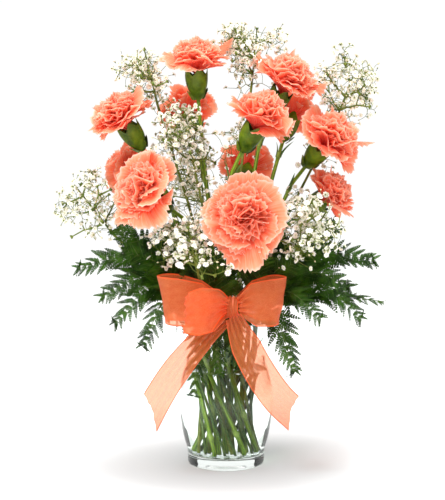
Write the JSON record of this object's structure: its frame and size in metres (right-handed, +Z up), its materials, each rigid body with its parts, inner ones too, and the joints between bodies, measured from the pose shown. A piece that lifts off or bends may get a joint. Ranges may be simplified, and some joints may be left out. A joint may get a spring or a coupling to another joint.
{
  "type": "carnations in a vase",
  "caption": "Coral carnations with baby's breath and leatherleaf fern in a clear glass vase of water, finished with an orange organza bow.",
  "frame": {"origin": "middle of the vase's foot, on the surface it stands on", "axes": "+Z up along the vase; -Y is the front, with the bow; +X is to the right seen from the front"},
  "size_m": [0.3322, 0.2317, 0.4546],
  "materials": {
    "clear_glass": "clear, polished, with a thick base",
    "water": "clear still water, faintly green",
    "green_stem": "satin, with swollen joints",
    "calyx_green": "satin green cup, darker at its base",
    "carnation_petal": "soft coral petals, paler at the toothed edges and deep red-orange in the folds",
    "babys_breath": "tiny cream-white double flowers on thin olive stems",
    "fern_green": "satin deep green leaf",
    "organza_ribbon": "sheer shimmering organza with a woven edge"
  },
  "bodies": {
    "root": {"vase": "clear_glass", "water": "water", "top_left_stem": "green_stem", "top_left_calyx": "calyx_green", "top_left_bloom": "carnation_petal", "left_stem": "green_stem", "left_calyx": "calyx_green", "left_bloom": "carnation_petal", "back_left_stem": "green_stem", "back_left_calyx": "calyx_green", "back_left_bloom": "carnation_petal", "front_left_stem": "green_stem", "front_left_calyx": "calyx_green", "front_left_bloom": "carnation_petal", "low_left_stem": "green_stem", "low_left_calyx": "calyx_green", "low_left_bloom": "carnation_petal", "front_stem": "green_stem", "front_calyx": "calyx_green", "front_bloom": "carnation_petal", "middle_stem": "green_stem", "middle_calyx": "calyx_green", "middle_bloom": "carnation_petal", "top_right_stem": "green_stem", "top_right_calyx": "calyx_green", "top_right_bloom": "carnation_petal", "right_stem": "green_stem", "right_calyx": "calyx_green", "right_bloom": "carnation_petal", "low_right_stem": "green_stem", "low_right_calyx": "calyx_green", "low_right_bloom": "carnation_petal", "low_back_stem": "green_stem", "low_back_calyx": "calyx_green", "low_back_bloom": "carnation_petal", "back_right_stem": "green_stem", "back_right_calyx": "calyx_green", "back_right_bloom": "carnation_petal", "babys_breath_top_left": "babys_breath", "babys_breath_top_centre": "babys_breath", "babys_breath_right": "babys_breath", "babys_breath_left": "babys_breath", "babys_breath_low_right": "babys_breath", "babys_breath_middle": "babys_breath", "babys_breath_low_front": "babys_breath", "babys_breath_back": "babys_breath", "fern_upper_left": "fern_green", "fern_lower_left": "fern_green", "fern_upper_right": "fern_green", "fern_lower_right": "fern_green", "fern_right_droop": "fern_green", "fern_front_droop": "fern_green", "fern_back_left": "fern_green", "fern_back_right": "fern_green", "bow_left_loop": "organza_ribbon", "bow_right_loop": "organza_ribbon", "bow_front_loop": "organza_ribbon", "bow_left_tail": "organza_ribbon", "bow_right_tail": "organza_ribbon", "bow_knot": "organza_ribbon"}
  },
  "joints": []
}
